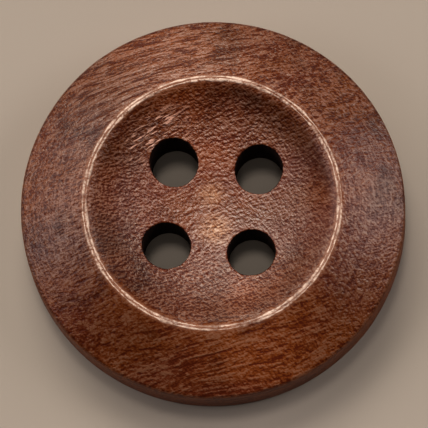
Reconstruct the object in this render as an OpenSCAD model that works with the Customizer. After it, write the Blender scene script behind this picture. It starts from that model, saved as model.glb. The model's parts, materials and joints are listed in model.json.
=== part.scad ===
// Turned wooden sew-on button: a disc with a sloping rim, a narrow crest ring,
// a round dish inside the crest and four sewing holes drilled through the dish.
// The origin is the centre of the back face, and +Z points out of the dish.

/* [Disc] */
// Outside diameter of the button
button_d = 20; // [18:0.5:30]
// Height of the crest above the back face
button_h = 4.4; // [3.8:0.1:6]
// Height at which the side wall meets the sloping rim
wall_h = 2.75; // [1.5:0.05:3.4]
// Radius of the round between the side wall and the back face
back_round = 0.4; // [0.1:0.05:1]

/* [Rim] */
// Width of the flat land on top of the crest
land_w = 0.17; // [0.05:0.01:0.6]
// Height of the rim's bulge above a straight cone
rim_bulge = 0.12; // [0.04:0.02:0.3]
// Radius of the round between the rim and the side wall
rim_round = 0.15; // [0.05:0.05:0.4]

/* [Dish] */
// Diameter of the dish at the crest
dish_d = 13.05; // [11.5:0.05:15]
// Depth of the dish at its centre, below the crest
dish_depth = 1.7; // [0.8:0.05:2.4]

/* [Sewing holes] */
// Number of holes
hole_count = 4; // [2:1:4]
// Diameter of each hole
hole_d = 2.5; // [1.2:0.1:2.8]
// Diameter of the circle through the hole centres
hole_circle_d = 6.24; // [5.6:0.02:7.4]
// Width of the eased edge where a hole meets the back face
hole_ease = 0.15; // [0.05:0.05:0.4]

/* [Hidden] */
$fn = 96;

// How far a cutting shape reaches past the surface that it cuts
cut_past = 1;
// The first hole lies on the diagonal between +X and +Y
first_hole_angle = 45;
// Stained wood, as it looks on the rim
stain_colour = "#6f432c";

button_r = button_d / 2;

// The dish is part of a sphere that passes through the inner edge of the land
dish_r = dish_d / 2;
dish_sphere_r = (dish_r ^ 2 + dish_depth ^ 2) / (2 * dish_depth);
dish_centre = [0, button_h - dish_depth + dish_sphere_r];

// The rim is an arc from the outer edge of the land down to the top of the side wall
rim_top = [dish_r + land_w, button_h];
rim_foot = [button_r, wall_h];
rim_chord = rim_foot - rim_top;
rim_out = [-rim_chord.y, rim_chord.x] / norm(rim_chord);
rim_arc_r = (norm(rim_chord) ^ 2 / 4 + rim_bulge ^ 2) / (2 * rim_bulge);
rim_centre = (rim_top + rim_foot) / 2 - (rim_arc_r - rim_bulge) * rim_out;

// The round at the foot of the rim touches both the rim's arc and the side wall
round_x = button_r - rim_round;
round_rise = sqrt((rim_arc_r - rim_round) ^ 2 - (round_x - rim_centre.x) ^ 2);
round_centre = [round_x, rim_centre.y + round_rise];
round_dir = (round_centre - rim_centre) / norm(round_centre - rim_centre);
round_past = round_centre + (rim_round + cut_past) * round_dir;

// What is left of a corner once a circle of radius r about centre is kept
module corner_outside(centre, r, corner) {
    difference() {
        polygon(corner);
        translate(centre) circle(r = r);
    }
}

module rim_cut() {
    past_x = button_r + cut_past;
    past_y = button_h + cut_past;
    corner_outside(rim_centre, rim_arc_r, [
        rim_top,
        rim_foot,
        [past_x, wall_h],
        [past_x, past_y],
        [rim_top.x, past_y],
    ]);
}

module rim_round_cut() {
    past_x = button_r + cut_past;
    corner_outside(round_centre, rim_round, [
        round_centre,
        [past_x, round_centre.y],
        [past_x, round_past.y],
        round_past,
    ]);
}

module back_round_cut() {
    centre = [button_r - back_round, back_round];
    corner_outside(centre, back_round, [
        centre,
        [centre.x, -cut_past],
        [button_r + cut_past, -cut_past],
        [button_r + cut_past, centre.y],
    ]);
}

// Half of the button's cross-section, as the turning tools leave it
module turned_profile() {
    difference() {
        square([button_r, button_h]);
        rim_cut();
        rim_round_cut();
        back_round_cut();
        translate(dish_centre) circle(r = dish_sphere_r);
    }
}

// One drilled hole on the Z axis, with its edge eased at the back face
module sewing_hole() {
    hole_r = hole_d / 2;
    translate([0, 0, -cut_past]) cylinder(h = button_h + 2 * cut_past, r = hole_r);
    translate([0, 0, -cut_past])
        cylinder(h = hole_ease + cut_past, r1 = hole_r + hole_ease + cut_past, r2 = hole_r);
}

// The whole button: one turned and drilled piece of wood
module button_disc() {
    color(stain_colour)
        difference() {
            rotate_extrude() turned_profile();
            for (i = [0 : hole_count - 1])
                rotate([0, 0, first_hole_angle + i * 360 / hole_count])
                    translate([hole_circle_d / 2, 0, 0])
                        sewing_hole();
        }
}

button_disc();
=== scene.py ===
import json
import math
from types import SimpleNamespace

import bmesh
import bpy
import numpy as np
from mathutils import Matrix, Vector, noise


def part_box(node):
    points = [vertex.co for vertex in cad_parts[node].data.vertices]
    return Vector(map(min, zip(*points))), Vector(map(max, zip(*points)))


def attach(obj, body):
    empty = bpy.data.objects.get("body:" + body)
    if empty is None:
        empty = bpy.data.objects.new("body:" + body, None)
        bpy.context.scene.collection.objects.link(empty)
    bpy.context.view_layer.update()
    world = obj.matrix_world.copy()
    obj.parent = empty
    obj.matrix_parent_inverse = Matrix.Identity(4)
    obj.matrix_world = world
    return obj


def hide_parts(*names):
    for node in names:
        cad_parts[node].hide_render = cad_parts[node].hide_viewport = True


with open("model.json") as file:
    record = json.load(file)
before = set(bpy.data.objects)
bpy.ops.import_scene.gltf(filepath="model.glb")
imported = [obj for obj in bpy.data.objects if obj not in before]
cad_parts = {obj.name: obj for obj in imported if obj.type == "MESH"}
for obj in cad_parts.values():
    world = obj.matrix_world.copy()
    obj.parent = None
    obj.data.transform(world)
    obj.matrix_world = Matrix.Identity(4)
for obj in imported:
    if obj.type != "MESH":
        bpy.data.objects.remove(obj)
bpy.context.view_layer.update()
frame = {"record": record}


def srgb(red, green, blue):
    """A colour written as it looks, from 0 to 255, as Blender's linear colour."""

    def linear(c):
        c /= 255
        return c / 12.92 if c <= 0.04045 else ((c + 0.055) / 1.055) ** 2.4

    return (linear(red), linear(green), linear(blue), 1)


# Sizes in millimetres, in the frame of the CAD part: back face on z = 0, dish facing +z
MM = 0.001
NODE = "button_disc"
BUTTON_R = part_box(NODE)[1].x / MM
BUTTON_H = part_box(NODE)[1].z / MM
HOLES = [m for m in frame["record"]["mounts"] if m["kind"] == "bore"]
HOLE_R = HOLES[0]["dims"]["r_mm"]
HOLE_XY = abs(HOLES[0]["pos_m"][0]) / MM
HOLE_EASE = 0.15
DISH_R = 6.525
DISH_DEPTH = 1.7
DISH_SPHERE_R = (DISH_R**2 + DISH_DEPTH**2) / (2 * DISH_DEPTH)
LAND_W = 0.17
CREST_R = DISH_R + LAND_W / 2
WALL_H = 2.75
RIM_BULGE = 0.12

# How far each corner is rounded, by tools or by wear, in millimetres
CREST_WORN = 0.035
RIM_WORN = 0.22
BACK_WORN = 0.4
HOLE_WORN = 0.09

# The drilled middle is meshed ray by ray from each hole out to this radius
PLATE_R = 5.2
ARC_STEPS = 115
LINE_STEPS = 68

# Rows of points along the turned profile
DISH_ROWS = 20
RIM_ROWS = 44
WALL_ROWS = 9
BACK_ROWS = 12
CORNER_ROWS = 5
BACK_CORNER_ROWS = 9

# Rows of points along a ray of the drilled middle, and how strongly they crowd towards the hole
PLATE_ROWS = 27
PLATE_CROWDING = 1.25
BORE_ROWS = 9
PLATE_BACK_ROWS = 6
PLATE_BACK_CROWDING = 1.3
# Angles through which a hole's worn lip rounds from the dish into the bore
LIP_LEANS = np.radians((20, 40, 60, 80))

# Points nearer than this, in metres, are one point
WELD = 1e-6
# A face belongs to a hole's wall where its normal rises by less than this
STEEP = 0.6

# Unevenness in the mesh: the size of its lumps, how far they stand out, both in millimetres, and a seed
HOLE_FRAY = (0.11, 0.022, 0)
HOLE_WAVE = (0.6, 0.015, 0)
RAISED_FIBRES = (0.17, 0.007, 0)
SWELL = (3.5, 0.02, 31)
CREST_WAVE = (0.9, 0.02, 17)
CREST_NICKS = (0.25, 0.012, 3)
# The same for the wear of a hole's lip, as a share of HOLE_WORN, and for tool marks, one lump to a pitch
LIP_WEAR = (0.3, 0.5, 7)
TOOL_MARKS = (1, 0.004, 0)
TOOL_PITCH = 0.16
# Length over which a tool mark changes along its turn, and how much of it is left on the rim
TOOL_DRIFT = 9
RIM_MARKS = 0.5
# How fast raised fibres change along the grain, as a share of across it, and how far crest wear reaches
FIBRE_STRETCH = 0.16
CREST_REACH = 0.12

# The grain runs across the button at this angle from +X, and dips a little into the wood
GRAIN_TURN = math.radians(19)
GRAIN_DIP = math.radians(-5)
# How often the fibres sway in a millimetre, and how far, along, across and into the wood
SWAY_PER_MM = 0.16
SWAY = (0, 1.8, 1.8)
# Angles of the torn fibres and of the pebbled skin's crossing strokes, and the contrast of those strokes
TEAR_TURN = math.radians(36)
PEBBLE_TURNS = (math.radians(24), math.radians(-44))
PEBBLE_CONTRAST = 0.7
# A step, in millimetres, towards the side the light falls from, on which pebbles are painted paler as
# painted relief shading, and its share along x at left and right
PAINTED_LIGHT_STEP = 0.066
PAINTED_LIGHT_ASIDE = (-1, 0.5)
# Slanting ways over the button, as shares of x and y: to its far side, and to the wood's dark heart
FAR_WAY = (-0.5, 1)
HEART_WAY = (0.66, 0.75)

# Where a look fades in, in millimetres: none of it up to the first value, all of it from the second on
DISH_FADE = (DISH_R, DISH_R - 0.5)
CENTRE_FADE = (6.2, 0.8)
WALL_FADE = (BUTTON_R - 0.12, BUTTON_R - 0.04)
WALL_TOP_FADE = (WALL_H + 0.1, WALL_H - 0.05)
FLANK_FADE = (1, 4)
FAR_FADE = (-4, 4)
LEFT_TO_RIGHT = (-8, 8)
RIGHT_FLANK_FADE = (-2, 2)
DISH_FRONT_FADE = (2, -4)
DISH_RIGHT_FADE = (2, 5)
DISH_SKIN_FADE = (6.4, 5.4)
TORN_FADE = (6, 5.2)
# The painted shade along the outer edge
PAINTED_EDGE_SHADE_FADE = (BUTTON_R - 0.2, BUTTON_R - 0.05)
DULL_RING_FADE = (4.2, 5.8)
DULL_FAR_FADE = (-2, 3)
DULL_CREST_FADE = (0.3, 0.15)
# The painted highlight over the crest
CREST_HIGHLIGHT_FADE = (0.32, 0.06)
CREST_LEFT_FADE = (-4, -6.4)
# The same along the way to the heart: for the grain's figure, for the stain on the rim, for the stain with
# painted shade in the dish, and for the crest
HEART_GRAIN_FADE = (5.5, 8.5)
HEART_RIM_FADE = (5, 8.5)
HEART_AND_SHADE_DISH_FADE = (4.2, 5.6)
HEART_CREST_FADE = (5.2, 6.4)

# Noises: cycles in a millimetre, as one number or along each axis, then octaves and roughness
FIBRES = ((0.45, 5.6, 5.6), 2, 0.65)
STREAKS = ((0.25, 2, 2), 2, 0.6)
WARMTH = ((0.12, 0.3, 0.3), 2, 0.5)
PEBBLES = ((4.0, 8.0, 6.4), 1.5, 0.6)
TEARS = ((1.4, 8.5, 8.5), 1.5, 0.5)
TOOL_RINGS = ((8, 0.9, 1), 2, 0.6)
BLOTCHES = (0.4, 2, 0.5)
CREST_PATCHES = (0.9, 3, 0.6)
CREST_WOBBLE = (2.2, 3, 0.6)
CREST_WIDTHS = (0.7, 3, 0.6)
CREST_FLECKS = (3.4, 3, 0.75)
CUT_ENDS = ((7, 7, 2), 3, 0.6)

# Noises and the wood's tone lie around the middle; the tone's colours run from dark to pale
MIDDLE = 0.5
DARK_TONE = 0.4
PALE_TONE = 0.6

# Colours of the wood, of the painted highlight, glints and shade on it, and of the floor
DARK_FIBRE = srgb(74, 25, 10)
RED_FIBRE = srgb(98, 41, 20)
BROWN_FIBRE = srgb(110, 51, 17)
PALE_FIBRE_NEAR = srgb(128, 79, 56)
PALE_FIBRE_FAR = srgb(134, 80, 57)
PALE_FIBRE_DISH = srgb(129, 79, 59)
PALE_TAN = srgb(190, 128, 84)
# Painted shade in the gaps and painted glints on the lifted fibres of the torn patch
PAINTED_SHADE_IN_GAPS = srgb(58, 18, 8)
PAINTED_GLINT_ON_TEARS = srgb(228, 166, 144)
# Painted highlight over the crest
CREST_PAINTED_HIGHLIGHT = srgb(150, 96, 72)
BARE_CREST = srgb(238, 204, 186)
WALL_DARK = srgb(84, 33, 6)
WALL_PALE = srgb(122, 56, 11)
# Dark stain on the bore's cut ends, painted darker still for the shade in the holes
BORE_DARK_STAIN_AND_SHADE = srgb(12, 4, 2)
BORE_PALE_STAIN_AND_SHADE = srgb(38, 14, 6)
FLOOR_COLOUR = srgb(158, 143, 133)

# Height of the bump for the grain and for the cut ends in a hole, in millimetres
GRAIN_BUMP = 0.08
BORE_BUMP = 0.05

# Radius of each edge of the crest's land, with a seed, and how far the edges wobble
CREST_EDGES = ((DISH_R, 0), (DISH_R + LAND_W, 40))
CREST_WOBBLE_W = 0.09
# Narrowest and widest line of bare wood along an edge
BARE_LINE_W = (0.015, 0.125)

# Where the colour is made paler or darker than elsewhere: middle and radius in millimetres, and gain
PALER_DARKER_SPOTS = (
    ((2.1, -4.2, 3.5), 1.2, 0.3),
    ((4.5, -3.6, 3.6), 1.8, 0.2),
    ((-2.5, 4.2, 3.4), 3, 0.25),
    ((-0.5, 3.2, 3.2), 2.8, 0.4),
    ((-3.2, 1.9, 3.2), 2.4, 0.28),
    ((-3.6, -0.8, 3.2), 2.4, 0.2),
    ((3, 2.8, 3.2), 2.2, 0.2),
    ((2.6, -0.3, 2.9), 1.8, -0.15),
    ((-5.2, -2.4, 3.7), 3, -0.28),
    ((-5.4, 1, 3.7), 2.5, 0.12),
    ((-5.6, -1.2, 3.8), 2, 0.15),
    ((-4.7, -3.8, 3.9), 1.6, 0.25),
    ((-7.5, -5.6, 3.0), 2, 0.2),
    ((8.4, 0.4, 3.3), 4, 0.08),
    ((-7, 4.4, 3.6), 6, -0.37),
    ((-6.5, -5.2, 3.4), 6, -0.35),
    ((6.9, -3.6, 3.6), 4.2, -0.25),
    ((3.4, -8.6, 3.2), 3.8, 0.4),
    ((-2.8, -7.6, 3.6), 4.5, -0.28),
    ((-8.5, -1, 3.4), 4, -0.15),
    ((-9.3, -2.6, 3.0), 2.2, -0.2),
    ((9.4, 2.8, 3.0), 3, 0.15),
    ((4.4, 6.6, 4.1), 2, 0.12),
    ((0.8, -4.2, 3.4), 2.5, 0.15),
)
# Where the crest is worn more than elsewhere: middle, radius and gain
WORN_SPOTS = (
    ((-0.8, 6.6, 4.4), 2.5, 0.25),
    ((-6.0, 2.7, 4.4), 2.5, 0.2),
    ((-5.4, -3.8, 4.4), 2.5, 0.15),
)
# Where the colour is mixed towards pale tan: middle, radius and share
PALE_TAN_SPOTS = (
    ((-0.15, 0.75, 2.7), 1.1, 0.5),
    ((0.25, -1.06, 2.7), 1.3, 0.7),
)
# Where the lacquer is dull: middle, radius and share, and the radius within which all of that share holds
DULL_SPOTS = (
    ((-5, -7, 3.4), 6, 1),
    ((6, -7, 3.4), 4.5, 0.5),
    ((1, -7.6, 3.6), 3.5, 0.8),
)
DULL_CORE = 1
# Where the turning tool has torn the dish's fibres: middle, outer radius and inner radius
TORN_SPOT = ((-3.5, 3.6, 3.7), 2.6, 0.6)

# The photograph's width in pixels, and the camera that fits its outlines, with lengths in metres
IMAGE_W = 428
FOCAL_PX = 5718
CAMERA_DISTANCE = 0.300
CAMERA_TILT = math.radians(11.77)
CAMERA_AZIMUTH = math.radians(13.83)
CAMERA_ROLL = math.radians(5.2)
CAMERA_AIM = Vector((-0.000055, 0.000285, 0))
CAMERA_NEAR = 0.01
# Width of the camera's sensor in millimetres
SENSOR_W = 36

# Lamps: degrees round from the viewer's side, degrees up, width in metres, power in watts, and colour
LAMPS = {
    "key": (180, 46, 0.3, 2.1, (1, 0.97, 0.83)),
    "top": (180, 77, 0.1, 0.75, (1, 0.98, 0.88)),
    "front_top": (0, 80, 0.16, 0.15, (1, 0.98, 0.88)),
    "back_left": (215, 40, 0.35, 1.07, (1, 0.97, 0.85)),
    "left": (260, 35, 0.35, 1.1, (1, 0.98, 0.97)),
    "right": (100, 35, 0.35, 1.35, (1, 0.98, 0.94)),
}
LAMP_DISTANCE = 0.6
WORLD_COLOUR = (0.03, 0.03, 0.03, 1)

# Half the floor's width in metres, and its depth under the back face in millimetres
FLOOR_HALF = 2.0
FLOOR_DROP = 0.02


# Turned profile


def dish_z(r):
    """Height of the round dish at radius r."""
    return BUTTON_H - DISH_DEPTH + DISH_SPHERE_R - np.sqrt(DISH_SPHERE_R**2 - r**2)


def bulged(start, end, bulge, rows):
    """Points along a curve from start to end that stands out to its left by bulge."""
    start, end = np.array(start), np.array(end)
    t = np.linspace(0, 1, rows)[:, None]
    left = np.array([-(end - start)[1], (end - start)[0]]) / np.linalg.norm(end - start)
    return start + t * (end - start) + 4 * bulge * t * (1 - t) * left


def eased(points, corner, worn, rows=CORNER_ROWS):
    """The points with the corner at that index rounded over the length worn on each side."""
    before, at, after = points[corner - 1], points[corner], points[corner + 1]
    a = at + (before - at) * min(1, worn / np.linalg.norm(before - at))
    b = at + (after - at) * min(1, worn / np.linalg.norm(after - at))
    t = np.linspace(0, 1, rows)[:, None]
    curve = (1 - t) ** 2 * a + 2 * t * (1 - t) * at + t**2 * b
    return np.vstack([points[:corner], curve, points[corner + 1 :]])


def turned_profile():
    """(r, z) points from the drilled middle over the crest and the rim, round to the back."""
    dish_r = np.linspace(PLATE_R, DISH_R - 2 * CREST_WORN, DISH_ROWS)
    dish = np.stack([dish_r, dish_z(dish_r)], 1)
    crest_in, crest_out = (DISH_R, BUTTON_H), (DISH_R + LAND_W, BUTTON_H)
    rim = bulged(crest_out, (BUTTON_R, WALL_H), RIM_BULGE, RIM_ROWS)
    wall_z = np.linspace(WALL_H, BACK_WORN, WALL_ROWS + 2)[1:-1]
    wall = np.stack([np.full(WALL_ROWS, BUTTON_R), wall_z], 1)
    back_r = np.linspace(BUTTON_R - BACK_WORN, PLATE_R, BACK_ROWS)
    back = np.stack([back_r, np.zeros(BACK_ROWS)], 1)
    points = np.vstack([dish, [crest_in], rim, wall, [(BUTTON_R, 0)], back])
    points = eased(points, len(dish) + len(rim) + len(wall) + 1, BACK_WORN, BACK_CORNER_ROWS)
    points = eased(points, len(dish) + len(rim), RIM_WORN)
    points = eased(points, len(dish) + 1, CREST_WORN)
    return eased(points, len(dish), CREST_WORN)


# Mesh


def quadrant_border():
    """Border of the drilled middle's first quarter: along the arc, in to the axis and out again."""
    angle = np.linspace(0, math.pi / 2, ARC_STEPS + 1)[:-1]
    arc = PLATE_R * np.stack([np.cos(angle), np.sin(angle)], 1)
    line = np.linspace(PLATE_R, 0, LINE_STEPS + 1)
    down = np.stack([np.zeros(LINE_STEPS), line[:-1]], 1)
    out = np.stack([line[::-1][:-1], np.zeros(LINE_STEPS)], 1)
    return np.vstack([arc, down, out])


def ragged(points, size, depth, seed):
    """Noise at these points with lumps of that size, from minus depth to depth, the same in each run."""
    return depth * np.array([noise.noise(Vector(p) / size) for p in points + seed])


def drilled_quarter(turn):
    """Rings of points from one quarter's border over the dish, down the hole and out over the back."""
    rotation = np.array([[math.cos(turn), -math.sin(turn)], [math.sin(turn), math.cos(turn)]])
    border = quadrant_border() @ rotation.T
    centre = rotation @ np.array([HOLE_XY, HOLE_XY])
    ray = border - centre
    reach = np.linalg.norm(ray, axis=1)
    ray = ray / reach[:, None]
    drilled = centre + ray * HOLE_R
    lip = np.column_stack([drilled, dish_z(np.hypot(*drilled.T))])
    mouth = HOLE_R + (ragged(lip, *HOLE_FRAY) + ragged(lip, *HOLE_WAVE))
    worn = HOLE_WORN * (1 + ragged(lip, *LIP_WEAR))
    rings = []

    def ring(radius, height):
        xy = centre + ray * np.broadcast_to(radius, reach.shape)[:, None]
        rings.append(np.column_stack([xy, np.broadcast_to(height, reach.shape)]))

    def over_dish(radius, drop):
        xy = centre + ray * np.broadcast_to(radius, reach.shape)[:, None]
        rings.append(np.column_stack([xy, dish_z(np.hypot(*xy.T)) - drop]))

    for share in np.linspace(1, 0, PLATE_ROWS) ** PLATE_CROWDING:
        over_dish(mouth + worn + share * (reach - mouth - worn), 0)
    for lean in LIP_LEANS:
        over_dish(mouth + worn * (1 - math.sin(lean)), worn * (1 - math.cos(lean)))
    bore_top = rings[-1][:, 2] - worn / 2
    for share in np.linspace(0, 1, BORE_ROWS):
        ring(mouth + (HOLE_R - mouth) * share, bore_top + (HOLE_EASE - bore_top) * share)
    back_mouth = HOLE_R + HOLE_EASE
    for share in np.linspace(0, 1, PLATE_BACK_ROWS) ** PLATE_BACK_CROWDING:
        ring(back_mouth + (reach - back_mouth) * share, 0)
    return rings


def grid_faces(first, rows, columns):
    """Quads of a grid that closes on itself along its rows, its points counted from first."""
    at = first + np.arange(rows * columns).reshape(rows, columns)
    here, below = at[:-1], at[1:]
    quads = np.stack([here, below, np.roll(below, -1, 1), np.roll(here, -1, 1)], -1)
    return quads.reshape(-1, 4)


def button_grid():
    """Points and faces of the turned and drilled surface, closed, in millimetres."""
    points, faces, count = [], [], 0
    for quarter in range(4):
        rings = drilled_quarter(quarter * math.pi / 2)
        points += rings
        faces.append(grid_faces(count, len(rings), len(rings[0])))
        count += len(rings) * len(rings[0])
    angle = np.arange(4 * ARC_STEPS) * math.pi / 2 / ARC_STEPS
    profile = turned_profile()
    for r, z in profile:
        points.append(np.stack([r * np.cos(angle), r * np.sin(angle), np.full(len(angle), z)], 1))
    faces.append(grid_faces(count, len(profile), len(angle)))
    return np.vstack(points), np.vstack(faces)


def along_grain(points):
    """The points in the wood's own axes: along the fibres, across them, and into the wood."""
    turn = Matrix.Rotation(-GRAIN_TURN, 3, "Z")
    dip = Matrix.Rotation(-GRAIN_DIP, 3, "Y")
    return points @ np.array(dip @ turn).T


def surface_relief(points):
    """How far each point stands out of the true turned shape: tool marks, raised grain and wear."""
    r = np.hypot(points[:, 0], points[:, 1])
    on_front = (points[:, 2] > WALL_H / 2).astype(float)
    turns = np.stack([r / TOOL_PITCH, points[:, 0] / TOOL_DRIFT, points[:, 1] / TOOL_DRIFT], 1)
    marks = ragged(turns, *TOOL_MARKS) * np.where(r < DISH_R, 1, RIM_MARKS)
    fibres = ragged(along_grain(points) * np.array([FIBRE_STRETCH, 1, 1]), *RAISED_FIBRES)
    crest = np.exp(-(((r - CREST_R) / CREST_REACH) ** 2)) * on_front
    wear = crest * (ragged(points, *CREST_WAVE) + ragged(points, *CREST_NICKS))
    return (marks + fibres) * on_front + ragged(points, *SWELL) + wear


def vectors(items, name):
    """A vector of each vertex or face of a mesh, by its name, as rows of an array."""
    flat = np.zeros(len(items) * 3)
    items.foreach_get(name, flat)
    return flat.reshape(-1, 3)


def in_hole(mesh):
    """Which faces are in a sewing hole, below its worn lip."""
    centre = vectors(mesh.polygons, "center") / MM
    out = vectors(mesh.polygons, "normal")
    away = np.hypot(np.abs(centre[:, 0]) - HOLE_XY, np.abs(centre[:, 1]) - HOLE_XY)
    return (away < HOLE_R + HOLE_WORN) & (np.abs(out[:, 2]) < STEEP)


def welded_mesh(points, faces):
    """A closed mesh of points in millimetres, with its quarters joined and its normals outwards."""
    mesh = bpy.data.meshes.new("turned_button")
    mesh.from_pydata((points * MM).tolist(), [], faces.tolist())
    made = bmesh.new()
    made.from_mesh(mesh)
    bmesh.ops.remove_doubles(made, verts=made.verts, dist=WELD)
    bmesh.ops.recalc_face_normals(made, faces=made.faces)
    made.to_mesh(mesh)
    made.free()
    return mesh


def button():
    """The button as one closed mesh with its turning, drilling and wear in the surface."""
    mesh = welded_mesh(*button_grid())
    points = vectors(mesh.vertices, "co") / MM
    points += vectors(mesh.vertex_normals, "vector") * surface_relief(points)[:, None]
    points[:, 2] = np.maximum(points[:, 2], 0)
    mesh.vertices.foreach_set("co", (points * MM).ravel())
    mesh.polygons.foreach_set("use_smooth", np.ones(len(mesh.polygons), bool))
    mesh.polygons.foreach_set("material_index", in_hole(mesh).astype(np.int32))
    mesh.update()
    piece = bpy.data.objects.new("turned_button", mesh)
    bpy.context.scene.collection.objects.link(piece)
    return piece


# Materials


class Nodes:
    """Shorthand for a material's node tree: most methods add a node and return its output."""

    def __init__(self, name):
        self.material = bpy.data.materials.new(name)
        self.material.use_nodes = True
        self.tree = self.material.node_tree
        self.shader = self.tree.nodes["Principled BSDF"]

    def put(self, socket, value):
        """Link an output to the socket, or set the socket to a constant."""
        if isinstance(value, bpy.types.NodeSocket):
            self.tree.links.new(value, socket)
        else:
            socket.default_value = value

    def set(self, name, value):
        """Link or set an input of the material's shader."""
        self.put(self.shader.inputs[name], value)

    def add(self, kind, inputs, output=0, **settings):
        """A node of this kind, with its inputs linked or set."""
        node = self.tree.nodes.new(kind)
        for key, value in settings.items():
            setattr(node, key, value)
        for key, value in inputs.items():
            self.put(node.inputs[key], value)
        return node.outputs[output]

    def math(self, operation, *values):
        return self.add("ShaderNodeMath", dict(enumerate(values)), operation=operation)

    def chain(self, operation, values):
        """The first value, combined with each of the others in turn."""
        result = values[0]
        for value in values[1:]:
            result = self.math(operation, result, value)
        return result

    def plus(self, *values):
        return self.chain("ADD", values)

    def times(self, *values):
        return self.chain("MULTIPLY", values)

    def largest(self, *values):
        return self.chain("MAXIMUM", values)

    def minus(self, value, less):
        return self.math("SUBTRACT", value, less)

    def rest(self, share):
        """What a share leaves of 1."""
        return self.minus(1, share)

    def gap(self, a, b):
        """How far apart two numbers are."""
        return self.math("ABSOLUTE", self.minus(a, b))

    def swing(self, value, gain):
        """How far a noise lies from its middle, times a gain."""
        return self.times(self.minus(value, MIDDLE), gain)

    def blend(self, share, a, b):
        """Number a where share is 0, b where it is 1."""
        return self.plus(a, self.times(share, self.minus(b, a)))

    def ramp(self, value, low, high, smooth=True):
        """0 up to low, 1 from high on; low may be the larger of the two."""
        inputs = {"Value": value, "From Min": low, "From Max": high}
        kind = "SMOOTHSTEP" if smooth else "LINEAR"
        return self.add("ShaderNodeMapRange", inputs, interpolation_type=kind, clamp=True)

    def mix(self, share, a, b):
        """Colour a where share is 0, b where it is 1."""
        return self.add("ShaderNodeMix", {"Factor": share, "A": a, "B": b}, "Result", data_type="RGBA")

    def vector(self, operation, *values):
        return self.add("ShaderNodeVectorMath", dict(enumerate(values)), operation=operation)

    def scaled(self, vector, factor):
        """A vector or colour times a number."""
        return self.add("ShaderNodeVectorMath", {0: vector, "Scale": factor}, operation="SCALE")

    def joined(self, x, y, z=0.0):
        """The vector of three numbers."""
        return self.add("ShaderNodeCombineXYZ", {"X": x, "Y": y, "Z": z})

    def millimetres(self):
        """Where the shaded point lies in the CAD part's frame, in millimetres."""
        metres = self.add("ShaderNodeTexCoord", {}, "Object")
        return self.vector("MULTIPLY", metres, (1 / MM, 1 / MM, 1 / MM))

    def turned(self, place, turn, dip=0.0):
        """The place in the axes of fibres that run at the angle turn from +X and dip into the wood."""
        return self.add("ShaderNodeMapping", {"Vector": place, "Rotation": (0, -dip, -turn)})

    def noise(self, place, per_mm, octaves, roughness):
        """Noise from 0 to 1, in the terms of the noises named above."""
        scale = per_mm
        if isinstance(per_mm, tuple):
            place = self.vector("MULTIPLY", place, per_mm)
            scale = 1
        inputs = {"Vector": place, "Scale": scale, "Detail": octaves, "Roughness": roughness}
        return self.add("ShaderNodeTexNoise", inputs, "Fac")

    def bump(self, height, millimetres):
        """The normal of a surface with that relief, which stands out so far at a height of 1."""
        inputs = {"Strength": 1.0, "Distance": millimetres * MM, "Height": height}
        return self.add("ShaderNodeBump", inputs)


def near(n, at, middle, outer, inner=0):
    """1 within the radius inner of a spot's middle, 0 beyond the radius outer."""
    away = n.add("ShaderNodeVectorMath", {0: at.place, 1: middle}, "Value", operation="DISTANCE")
    return n.ramp(away, outer, inner)


def plus_spots(n, at, value, spots):
    """The value with the gain of each spot added, all of it at the middle and none beyond the radius."""
    for middle, radius, gain in spots:
        value = n.plus(value, n.times(near(n, at, middle, radius), gain))
    return value


def along(n, at, way):
    """How far the point lies along a slanting way over the button."""
    share_x, share_y = way
    return n.plus(n.times(at.x, share_x), n.times(at.y, share_y))


def pebbled(n, place):
    """The pebbled skin's height, around the middle: short strokes that cross each other."""
    strokes = [n.noise(n.turned(place, turn, GRAIN_DIP), *PEBBLES) for turn in PEBBLE_TURNS]
    return n.math("MULTIPLY_ADD", n.plus(*strokes), PEBBLE_CONTRAST, MIDDLE - PEBBLE_CONTRAST)


def painted_light_side(n, at):
    """A short step towards the side the light falls from, on which pebbles are painted paler: outwards on
    the left, backwards elsewhere.
    """
    from_left = n.ramp(at.x, *LEFT_TO_RIGHT, smooth=False)
    aside = n.blend(from_left, *PAINTED_LIGHT_ASIDE)
    backwards = n.math("SQRT", n.rest(n.times(aside, aside)))
    return n.scaled(n.joined(aside, backwards), PAINTED_LIGHT_STEP)


def add_zones(n, at):
    """How far the point belongs to each part of the button, from 0 to 1, and how near the heart it is."""
    on_front = n.math("GREATER_THAN", at.z, WALL_H / 2)
    sideways = n.minus(n.math("ABSOLUTE", at.x), n.math("ABSOLUTE", at.y))
    at.in_dish = n.times(n.ramp(at.r, *DISH_FADE), on_front)
    at.centre = n.times(n.ramp(at.r, *CENTRE_FADE), on_front)
    at.end_grain = n.times(n.ramp(at.r, *WALL_FADE), n.ramp(at.z, *WALL_TOP_FADE))
    at.flank = n.times(n.ramp(sideways, *FLANK_FADE), n.rest(at.in_dish))
    at.far = n.ramp(along(n, at, FAR_WAY), *FAR_FADE)
    at.heart = along(n, at, HEART_WAY)


def add_grain(n, at):
    """The wood's noises: swaying fibres and streaks, the pebbled skin with its painted relief shading, and
    the turning tool's rings.
    """
    sway = n.add("ShaderNodeTexNoise", {"Vector": at.place, "Scale": SWAY_PER_MM, "Detail": 1.0}, "Color")
    straight = n.turned(at.place, GRAIN_TURN, GRAIN_DIP)
    at.grain = n.vector("ADD", straight, n.vector("MULTIPLY", sway, SWAY))
    at.fibre = n.noise(at.grain, *FIBRES)
    at.streak = n.noise(at.grain, *STREAKS)
    at.pebble = pebbled(n, at.place)
    # Painted relief shading: each pebble's height less its height a step towards the light, so that its
    # lit side is painted paler
    shifted = n.vector("ADD", at.place, painted_light_side(n, at))
    at.lit = n.minus(at.pebble, pebbled(n, shifted))
    at.rings = n.noise(n.joined(at.r, at.y, at.x), *TOOL_RINGS)


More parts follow.
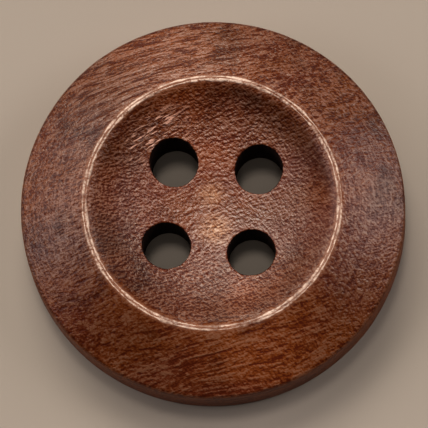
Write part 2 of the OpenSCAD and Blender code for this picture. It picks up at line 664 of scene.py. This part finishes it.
def add_tears(n, at):
    """How torn the dish is at the point, its lifted fibres and the gaps between them, on which glints and
    shade are painted.
    """
    fibres = n.noise(n.turned(at.place, TEAR_TURN), *TEARS)
    lifted = n.ramp(fibres, 0.55, 0.65)
    parted = n.ramp(fibres, 0.48, 0.36)
    at.torn = n.times(near(n, at, *TORN_SPOT), n.ramp(at.r, *TORN_FADE))
    at.tears = n.times(at.torn, lifted)
    at.gaps = n.times(at.torn, parted)


def wood_points(n):
    """Where a shaded point lies in the wood, and what its colour, shine and relief share."""
    at = SimpleNamespace(place=n.millimetres())
    at.x, at.y, at.z = n.add("ShaderNodeSeparateXYZ", {0: at.place}).node.outputs
    at.r = n.math("SQRT", n.plus(n.times(at.x, at.x), n.times(at.y, at.y)))
    add_zones(n, at)
    add_grain(n, at)
    add_tears(n, at)
    return at


def streaked(n, at):
    """Paler and darker fibres: plain on the rim, calmer in the dish, on the flanks and at the heart."""
    dish_figure = n.blend(at.centre, 0.5, 0.35)
    flank_calm = n.times(at.flank, 0.45)
    heart_figure = n.blend(n.ramp(at.heart, *HEART_GRAIN_FADE), 1, 0.85)
    figure = n.times(n.minus(n.blend(at.in_dish, 1, dish_figure), flank_calm), heart_figure)
    fibre = n.swing(at.fibre, n.blend(at.far, 0.52, 0.8))
    streak = n.swing(at.streak, 0.28)
    return n.times(n.plus(fibre, streak), figure)


def painted_pebble_shading(n, at):
    """Painted relief shading: pebbles painted paler on the side the light falls from, plain in the dish
    and on the far and left rim, faint elsewhere.
    """
    flank_gain = n.blend(n.ramp(at.x, *RIGHT_FLANK_FADE), 0.5, 0.1)
    far_gain = n.blend(at.flank, 0.52, flank_gain)
    rim_gain = n.blend(at.far, 0.2, far_gain)
    front_gain = n.blend(n.ramp(at.y, *DISH_FRONT_FADE), 0.62, 0.9)
    centre_calm = n.times(at.centre, 0.36)
    right_gain = n.blend(n.ramp(at.x, *DISH_RIGHT_FADE), 1, 0.3)
    dish_gain = n.times(n.minus(front_gain, centre_calm), right_gain)
    return n.times(at.lit, n.blend(at.in_dish, rim_gain, dish_gain))


def mottled(n, at):
    """Pebbles paler at their tops and darker in their hollows, partly stain in the hollows and partly
    painted shade of the relief, on the near rim and in the dish, and tool rings on the flanks.
    """
    on_near_rim = n.times(n.rest(at.far), n.rest(at.in_dish))
    pebble_gain = n.plus(n.times(on_near_rim, 0.34), n.times(at.in_dish, 0.25))
    ring_gain = n.times(at.flank, 0.35)
    return n.plus(n.swing(at.pebble, pebble_gain), n.swing(at.rings, ring_gain))


def wood_tone_with_painted_shading(n, at):
    """How pale the wood is from fibre to fibre, around the middle, with painted relief shading on the
    pebbles.
    """
    return n.plus(MIDDLE, mottled(n, at), streaked(n, at), painted_pebble_shading(n, at))


def fibre_colour(n, at, tone):
    """Colour of the stained fibres, from dark to pale with their tone."""
    warm = n.ramp(n.noise(at.grain, *WARMTH), 0.38, 0.62)
    middle = n.mix(warm, RED_FIBRE, BROWN_FIBRE)
    pale_rim = n.mix(at.far, PALE_FIBRE_NEAR, PALE_FIBRE_FAR)
    pale = n.mix(at.in_dish, pale_rim, PALE_FIBRE_DISH)
    above_dark = n.ramp(tone, DARK_TONE, MIDDLE, smooth=False)
    above_middle = n.ramp(tone, MIDDLE, PALE_TONE, smooth=False)
    return n.mix(above_middle, n.mix(above_dark, DARK_FIBRE, middle), pale)


def stain_and_painted_shade_level(n, at):
    """What the fibres' colour is multiplied by: 1 on plain wood, less where the stain is darker, with
    listed paler and darker spots, painted shade added to the heart's darkness in the dish, painted light
    and shade from front to back, and painted shade along the outer edge.
    """
    dark_dish = n.times(at.in_dish, 0.2)
    pale_centre = n.times(at.centre, 0.36)
    blotches = n.times(n.ramp(n.noise(at.place, *BLOTCHES), 0.5, 0.7), 0.25)
    heart_on_rim = n.times(n.ramp(at.heart, *HEART_RIM_FADE), 0.3)
    # Painted shade in the dish's outer ring towards the heart, on top of the heart's darker wood
    heart_and_painted_shade_in_dish = n.times(n.ramp(at.heart, *HEART_AND_SHADE_DISH_FADE), 0.36)
    dark_heart_and_dish_shade = n.blend(at.in_dish, heart_on_rim, heart_and_painted_shade_in_dish)
    # Painted light and shade: the rim paler and the dish darker towards the far side, from which the key
    # light falls
    backwards = n.times(at.y, n.blend(at.in_dish, 0.004, -0.008))
    # Painted shade: a dark line along the outer edge
    painted_edge_shade = n.times(n.ramp(at.r, *PAINTED_EDGE_SHADE_FADE), 0.4)
    level = plus_spots(n, at, n.plus(n.rest(dark_dish), pale_centre), PALER_DARKER_SPOTS)
    level = n.plus(n.minus(n.minus(level, blotches), dark_heart_and_dish_shade), backwards)
    return n.times(level, n.rest(painted_edge_shade))


def wood_colour(n, at, tone):
    """Stained fibres, mixed towards pale tan in spots in the middle of the dish, and torn at its upper
    left with painted glints on the lifted fibres and painted shade in the gaps.
    """
    colour = n.scaled(fibre_colour(n, at, tone), stain_and_painted_shade_level(n, at))
    on_ridges = n.ramp(tone, 0.35, 0.6)
    for middle, radius, share in PALE_TAN_SPOTS:
        pale_tan_share = n.times(near(n, at, middle, radius), n.times(on_ridges, share))
        colour = n.mix(pale_tan_share, colour, PALE_TAN)
    # Painted shade in the gaps and painted glints on the lifted fibres of the torn patch
    painted_gap_shade = n.times(at.gaps, 0.6)
    painted_tear_glints = n.times(at.tears, 0.8)
    return n.mix(painted_tear_glints, n.mix(painted_gap_shade, colour, PAINTED_SHADE_IN_GAPS), PAINTED_GLINT_ON_TEARS)


def crest_wear_and_highlight(n, at, colour):
    """The colour with a painted highlight over the crest and pale bare wood along both edges of the land,
    patchy and fainter on the left.
    """
    patches = plus_spots(n, at, n.noise(at.place, *CREST_PATCHES), WORN_SPOTS)
    r = n.plus(at.r, n.swing(n.noise(at.place, *CREST_WOBBLE), CREST_WOBBLE_W))
    left_wear = n.blend(n.ramp(at.x, *CREST_LEFT_FADE), 1, 0.75)
    faint = n.times(n.math("GREATER_THAN", at.z, WALL_H), left_wear)
    on_crest = n.ramp(n.gap(r, CREST_R), *CREST_HIGHLIGHT_FADE)
    highlight_patches = n.ramp(patches, 0.25, 0.6)
    highlight_share = n.blend(n.ramp(at.heart, *HEART_CREST_FADE), 0.65, 0.26)
    colour = n.mix(n.times(on_crest, highlight_patches, highlight_share, faint), colour, CREST_PAINTED_HIGHLIGHT)
    bare = n.ramp(patches, 0.3, 0.6)
    for edge, seed in CREST_EDGES:
        place = n.vector("ADD", at.place, (seed, seed, 0))
        flecks = n.ramp(n.noise(place, *CREST_FLECKS), 0.32, 0.58)
        wide = n.ramp(n.noise(place, *CREST_WIDTHS), 0.3, 0.7)
        width = n.blend(wide, *BARE_LINE_W)
        line = n.ramp(n.math("DIVIDE", n.gap(r, edge), width), 1, 0.15)
        colour = n.mix(n.times(line, bare, flecks, faint), colour, BARE_CREST)
    return colour


def wood_relief(n, at):
    """Height of the raised grain: ridges along the fibres on the rim, a pebbled skin in the dish."""
    rim_ridges = n.blend(at.flank, n.blend(at.far, 0.5, 1.1), 0.35)
    ridges = n.blend(at.in_dish, rim_ridges, 0.3)
    dish_skin = n.minus(n.ramp(at.r, *DISH_SKIN_FADE), n.times(at.centre, 0.7))
    rim_skin = n.blend(at.far, 0.35, n.blend(at.flank, 0.7, 1))
    skin = n.blend(dish_skin, rim_skin, 1.6)
    return n.plus(n.times(at.fibre, ridges), n.times(at.pebble, skin), at.tears)


def dulled(n, at):
    """Where the lacquer is dull: the dish's outer ring, the crest, the side wall and a few spots."""
    far_ring = n.blend(n.ramp(at.y, *DULL_FAR_FADE), 0.8, 1)
    torn_ring = n.blend(at.torn, 1, 0.55)
    ring = n.times(at.in_dish, n.ramp(at.r, *DULL_RING_FADE), far_ring, torn_ring)
    crest = n.times(n.ramp(n.gap(at.r, CREST_R), *DULL_CREST_FADE), 0.4)
    dull = n.largest(ring, crest, at.end_grain)
    for middle, radius, share in DULL_SPOTS:
        dull = n.largest(dull, n.times(near(n, at, middle, radius, DULL_CORE), share))
    return dull


def lacquer(n, at, tone):
    """How much of the lacquer's shine is left: most on pale fibres, little where it is dull."""
    rim_least = n.blend(at.flank, n.blend(at.far, 0.4, 0.14), 0.3)
    rim_most = n.blend(at.flank, 0.66, 0.74)
    least = n.blend(at.in_dish, rim_least, 0.27)
    most = n.blend(at.in_dish, rim_most, 0.98)
    shine = n.blend(n.ramp(tone, DARK_TONE, PALE_TONE, smooth=False), least, most)
    dull_share = n.blend(dulled(n, at), 1, 0.15)
    return n.times(n.largest(shine, at.tears), dull_share)


def wood_roughness(n, at):
    """Satin, rougher on the side wall, in the dish's outer ring and on the near ends of the flanks."""
    satin = 0.2
    wall = n.times(at.end_grain, 0.4)
    ring = n.minus(n.times(at.in_dish, 0.1), n.times(at.centre, 0.1))
    near_flank = n.times(at.flank, n.rest(at.far), 0.09)
    return n.plus(satin, wall, ring, near_flank)


def stained_wood():
    """Fine-pored hardwood, stained red-brown under satin lacquer, worn pale on the crest, with painted
    relief shading, a painted crest highlight, painted glints and painted shade.
    """
    n = Nodes("stained_wood")
    at = wood_points(n)
    tone = wood_tone_with_painted_shading(n, at)
    front = crest_wear_and_highlight(n, at, wood_colour(n, at, tone))
    wall = n.mix(n.ramp(tone, 0.42, 0.58), WALL_DARK, WALL_PALE)
    wall_share = n.times(at.end_grain, 0.75)
    n.set("Base Color", n.mix(wall_share, front, wall))
    n.set("Specular IOR Level", 0.75)
    n.set("Specular Tint", lacquer(n, at, tone))
    n.set("Roughness", wood_roughness(n, at))
    n.set("Normal", n.bump(wood_relief(n, at), GRAIN_BUMP))
    return n.material


def hole_wall():
    """The bore of a sewing hole: cut ends soaked dark by the stain and painted almost black for the shade
    in the bore, with little shine.
    """
    n = Nodes("hole_wall")
    tone = n.noise(n.millimetres(), *CUT_ENDS)
    n.set("Base Color", n.mix(n.ramp(tone, 0.35, 0.65), BORE_DARK_STAIN_AND_SHADE, BORE_PALE_STAIN_AND_SHADE))
    n.set("Specular IOR Level", 0.1)
    n.set("Roughness", 0.85)
    n.set("Normal", n.bump(tone, BORE_BUMP))
    return n.material


def floor_material():
    """Plain pale matt ground."""
    n = Nodes("floor")
    n.set("Base Color", FLOOR_COLOUR)
    n.set("Roughness", 0.9)
    return n.material


# Studio


def floor():
    """A wide plain floor just under the button's back face."""
    z = -FLOOR_DROP * MM
    corners = [(x * FLOOR_HALF, y * FLOOR_HALF, z) for x, y in ((-1, -1), (1, -1), (1, 1), (-1, 1))]
    mesh = bpy.data.meshes.new("floor")
    mesh.from_pydata(corners, [], [(0, 1, 2, 3)])
    mesh.materials.append(floor_material())
    plane = bpy.data.objects.new("floor", mesh)
    bpy.context.scene.collection.objects.link(plane)


def softbox(name, azimuth, elevation, width, power, colour):
    """A square lamp that faces the button; azimuth 0 is the viewer's side, 180 is behind the button."""
    round_z = CAMERA_AZIMUTH + math.radians(azimuth)
    up = math.radians(elevation)
    back = Vector((math.sin(round_z) * math.cos(up), -math.cos(round_z) * math.cos(up), math.sin(up)))
    lamp = bpy.data.lights.new(name, "AREA")
    lamp.shape = "SQUARE"
    lamp.size = width
    lamp.energy = power
    lamp.color = colour
    box = bpy.data.objects.new(name, lamp)
    box.location = back * LAMP_DISTANCE
    box.rotation_mode = "QUATERNION"
    box.rotation_quaternion = (-back).to_track_quat("-Z", "Y")
    bpy.context.scene.collection.objects.link(box)


def studio_light():
    """Soft lamps behind, above and beside the button, in a dim grey world."""
    for name, lamp in LAMPS.items():
        softbox(name, *lamp)
    world = bpy.data.worlds.new("studio")
    world.use_nodes = True
    world.node_tree.nodes["Background"].inputs["Color"].default_value = WORLD_COLOUR
    bpy.context.scene.world = world


def camera():
    """The camera that fits the photograph's outlines: tilted off the turning axis, and rolled a little."""
    tilt_out = math.sin(CAMERA_TILT)
    back = Vector(
        (
            tilt_out * math.sin(CAMERA_AZIMUTH),
            -tilt_out * math.cos(CAMERA_AZIMUTH),
            math.cos(CAMERA_TILT),
        )
    )
    level = Vector((0, 1, 0)).cross(back).normalized()
    upright = back.cross(level)
    right = level * math.cos(CAMERA_ROLL) + upright * math.sin(CAMERA_ROLL)
    up = upright * math.cos(CAMERA_ROLL) - level * math.sin(CAMERA_ROLL)
    lens = bpy.data.cameras.new("camera")
    lens.sensor_width = SENSOR_W
    lens.lens = FOCAL_PX * SENSOR_W / IMAGE_W
    lens.clip_start = CAMERA_NEAR
    eye = bpy.data.objects.new("camera", lens)
    facing = Matrix((right, up, back)).transposed().to_4x4()
    eye.matrix_world = Matrix.Translation(CAMERA_AIM + CAMERA_DISTANCE * back) @ facing
    bpy.context.scene.collection.objects.link(eye)
    bpy.context.scene.camera = eye


bpy.context.scene.view_settings.view_transform = "Standard"
camera()
studio_light()
floor()

piece = button()
piece.data.materials.append(stained_wood())
piece.data.materials.append(hole_wall())
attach(piece, "root")
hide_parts(NODE)
